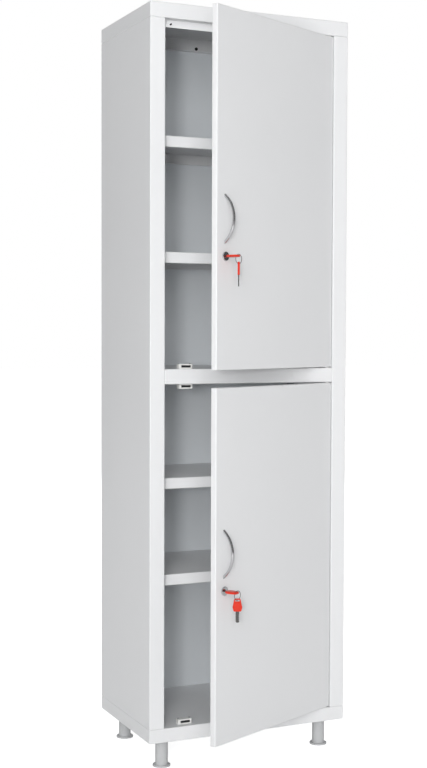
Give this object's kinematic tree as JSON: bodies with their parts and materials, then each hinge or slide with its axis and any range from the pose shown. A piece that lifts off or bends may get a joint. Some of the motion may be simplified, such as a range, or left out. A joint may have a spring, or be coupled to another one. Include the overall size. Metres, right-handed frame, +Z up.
{
  "type": "medical cabinet",
  "caption": "Tall narrow steel medical cabinet on round legs, with an upper and a lower lockable door, bow handles and adjustable shelves.",
  "frame": {"origin": "on the floor under the middle of the cabinet body", "axes": "+X to the right seen from the front, +Y into the cabinet, +Z up; doors stand 25.5 degrees open at rest"},
  "size_m": [0.5, 0.5222, 1.72],
  "materials": {
    "white_paint": "satin powder coat",
    "chrome": "polished",
    "zinc_steel": "zinc plated",
    "nickel_steel": "nickel plated",
    "red_plastic": "satin",
    "white_plastic": "satin",
    "grey_plastic": "satin",
    "ferrite": "dull",
    "rubber": "dull"
  },
  "bodies": {
    "cabinet": {"back_panel": "white_paint", "base_panel": "white_paint", "catch_housings": "white_plastic", "catch_magnets": "ferrite", "catch_screws": "zinc_steel", "door_buffer": "rubber", "door_pivot_pins": "zinc_steel", "door_stop": "white_paint", "front_left_leg": "grey_plastic", "front_right_leg": "grey_plastic", "left_side_panel": "white_paint", "left_stile": "white_paint", "leg_bolts": "zinc_steel", "levelling_feet": "grey_plastic", "lower_first_shelf": "white_paint", "lower_second_shelf": "white_paint", "lower_shelf_clips": "zinc_steel", "lower_shelf_uprights": "zinc_steel", "middle_partition": "white_paint", "rear_hole_plug": "rubber", "rear_left_leg": "grey_plastic", "rear_right_leg": "grey_plastic", "right_side_panel": "white_paint", "right_stile": "white_paint", "roof_panel": "white_paint", "upper_first_shelf": "white_paint", "upper_second_shelf": "white_paint", "upper_shelf_clips": "zinc_steel", "upper_shelf_uprights": "zinc_steel"},
    "upper_door": {"upper_door_panel": "white_paint", "upper_door_stiffener": "white_paint", "upper_door_handle": "chrome", "upper_handle_screws": "zinc_steel", "upper_pivot_bushes": "white_plastic", "upper_lock_housing": "chrome", "upper_lock_nut": "zinc_steel"},
    "upper_lock": {"upper_lock_plug": "chrome", "upper_lock_cam": "zinc_steel", "upper_lock_cam_screw": "zinc_steel"},
    "upper_key": {"upper_key_blade": "nickel_steel", "upper_key_bow": "red_plastic"},
    "upper_spare_key": {"upper_key_ring": "nickel_steel", "upper_spare_key_blade": "nickel_steel", "upper_spare_key_bow": "red_plastic"},
    "lower_door": {"lower_door_panel": "white_paint", "lower_door_stiffener": "white_paint", "lower_door_handle": "chrome", "lower_handle_screws": "zinc_steel", "lower_pivot_bushes": "white_plastic", "lower_lock_housing": "chrome", "lower_lock_nut": "zinc_steel"},
    "lower_lock": {"lower_lock_plug": "chrome", "lower_lock_cam": "zinc_steel", "lower_lock_cam_screw": "zinc_steel"},
    "lower_key": {"lower_key_blade": "nickel_steel", "lower_key_bow": "red_plastic"},
    "lower_spare_key": {"lower_key_ring": "nickel_steel", "lower_spare_key_blade": "nickel_steel", "lower_spare_key_bow": "red_plastic"}
  },
  "joints": [
    {"name": "upper_door_hinge", "type": "hinge", "parent": "cabinet", "child": "upper_door", "pos_m": [0.2015, -0.1535, 1.1535], "axis": [0, 0, 1], "range_deg": [-25.5, 84.5]},
    {"name": "upper_lock_turn", "type": "hinge", "parent": "upper_door", "child": "upper_lock", "pos_m": [-0.14365, -0.32533, 1.1535], "axis": [-0.4305, 0.9026, 0], "range_deg": [0, 90]},
    {"name": "upper_key_withdraw", "type": "slide", "parent": "upper_lock", "child": "upper_key", "axis": [0.4305, -0.9026, 0], "range_m": [0, 0.025]},
    {"name": "upper_spare_key_swing", "type": "hinge", "parent": "upper_key", "child": "upper_spare_key", "pos_m": [-0.12427, -0.35198, 1.1535], "axis": [-0.4305, 0.9026, 0], "range_deg": [-90, 0]},
    {"name": "lower_door_hinge", "type": "hinge", "parent": "cabinet", "child": "lower_door", "pos_m": [0.2015, -0.1535, 0.434], "axis": [0, 0, 1], "range_deg": [-25.5, 84.5]},
    {"name": "lower_lock_turn", "type": "hinge", "parent": "lower_door", "child": "lower_lock", "pos_m": [-0.14365, -0.32533, 0.434], "axis": [-0.4305, 0.9026, 0], "range_deg": [0, 90]},
    {"name": "lower_key_withdraw", "type": "slide", "parent": "lower_lock", "child": "lower_key", "axis": [0.4305, -0.9026, 0], "range_m": [0, 0.025]},
    {"name": "lower_spare_key_swing", "type": "hinge", "parent": "lower_key", "child": "lower_spare_key", "pos_m": [-0.12427, -0.35198, 0.434], "axis": [-0.4305, 0.9026, 0], "range_deg": [-90, 0]}
  ],
  "couplings": [
    {"joint": "upper_spare_key_swing", "follows": "upper_lock_turn", "ratio": -1},
    {"joint": "lower_spare_key_swing", "follows": "lower_lock_turn", "ratio": -1}
  ]
}
